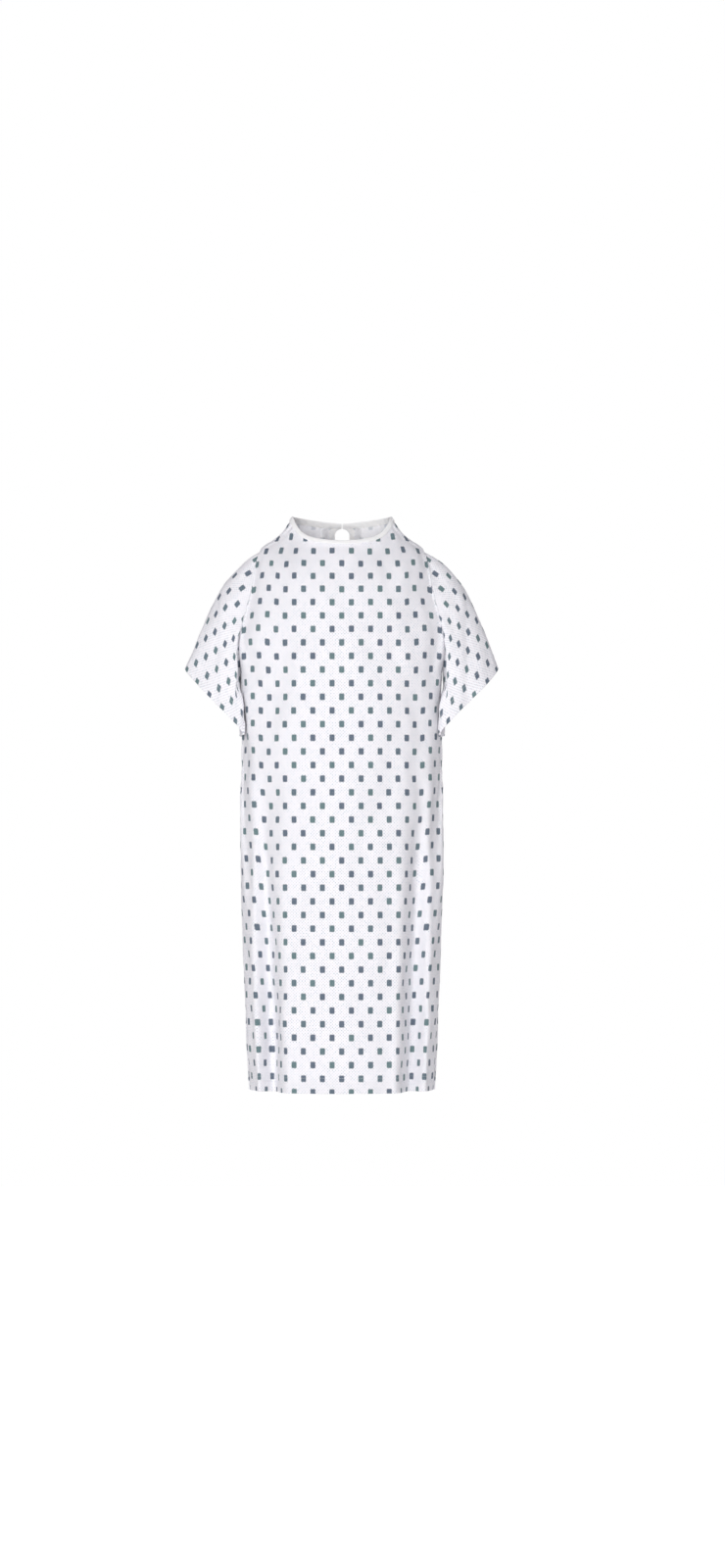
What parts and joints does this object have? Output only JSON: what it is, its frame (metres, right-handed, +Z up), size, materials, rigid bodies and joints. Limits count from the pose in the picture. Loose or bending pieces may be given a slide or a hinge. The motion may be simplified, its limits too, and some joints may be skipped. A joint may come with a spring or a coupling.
{
  "type": "patient gown",
  "caption": "Adult back-opening patient gown with short wide sleeves, bound neck, keyhole back and tie closures.",
  "frame": {"origin": "midway between the high points of the shoulders, where the gown rests on its wearer", "axes": "+Z up, -Y the wearer's front, +X the wearer's left"},
  "size_m": [0.6514, 0.2661, 1.1687],
  "materials": {
    "printed_cloth": "matt plain-weave cloth, white with a small teal rectangle print",
    "white_binding": "matt white folded cloth binding with edge stitching",
    "tie_tape": "matt white woven twill tape"
  },
  "bodies": {
    "gown": {"front_panel": "printed_cloth", "back_side_left": "printed_cloth", "back_side_right": "printed_cloth", "neck_binding_front": "white_binding", "neck_binding_side_left": "white_binding", "neck_binding_side_right": "white_binding"},
    "flap_left": {"back_flap_left": "printed_cloth", "back_edge_binding_left": "white_binding", "neck_binding_back_left": "white_binding", "waist_tie_patch_left": "white_binding"},
    "flap_right": {"back_flap_right": "printed_cloth", "back_edge_binding_right": "white_binding", "neck_binding_back_right": "white_binding", "waist_tie_patch_right": "white_binding"},
    "sleeve_left": {"sleeve_left": "printed_cloth"},
    "sleeve_right": {"sleeve_right": "printed_cloth"},
    "neck_tie_left": {"neck_tie_left": "tie_tape"},
    "neck_tie_right": {"neck_tie_right": "tie_tape"},
    "waist_tie_left": {"waist_tie_left": "tie_tape"},
    "waist_tie_right": {"waist_tie_right": "tie_tape"}
  },
  "joints": [
    {"name": "flap_left_fold", "type": "hinge", "parent": "gown", "child": "flap_left", "pos_m": [0.057, 0.101, 0], "axis": [0.0629, 0.0578, -0.9963], "range_deg": [0, 70]},
    {"name": "flap_right_fold", "type": "hinge", "parent": "gown", "child": "flap_right", "pos_m": [-0.057, 0.101, 0], "axis": [0.0629, -0.0578, 0.9963], "range_deg": [0, 70]},
    {"name": "sleeve_left_lift", "type": "hinge", "parent": "gown", "child": "sleeve_left", "pos_m": [0.166, 0, -0.065], "axis": [0, -1, 0], "range_deg": [0, 20]},
    {"name": "sleeve_right_lift", "type": "hinge", "parent": "gown", "child": "sleeve_right", "pos_m": [-0.166, 0, -0.065], "axis": [0, 1, 0], "range_deg": [0, 20]},
    {"name": "neck_tie_left_swing", "type": "hinge", "parent": "flap_left", "child": "neck_tie_left", "pos_m": [0.0347, 0.0709, -0.0129], "axis": [1, 0, 0], "range_deg": [0, 80]},
    {"name": "neck_tie_right_swing", "type": "hinge", "parent": "flap_right", "child": "neck_tie_right", "pos_m": [-0.0347, 0.0709, -0.0129], "axis": [1, 0, 0], "range_deg": [0, 80]},
    {"name": "waist_tie_left_swing", "type": "hinge", "parent": "flap_left", "child": "waist_tie_left", "pos_m": [0.0253, 0.1295, -0.433], "axis": [1, 0, 0], "range_deg": [0, 80]},
    {"name": "waist_tie_right_swing", "type": "hinge", "parent": "flap_right", "child": "waist_tie_right", "pos_m": [-0.0253, 0.1295, -0.433], "axis": [1, 0, 0], "range_deg": [0, 80]}
  ]
}
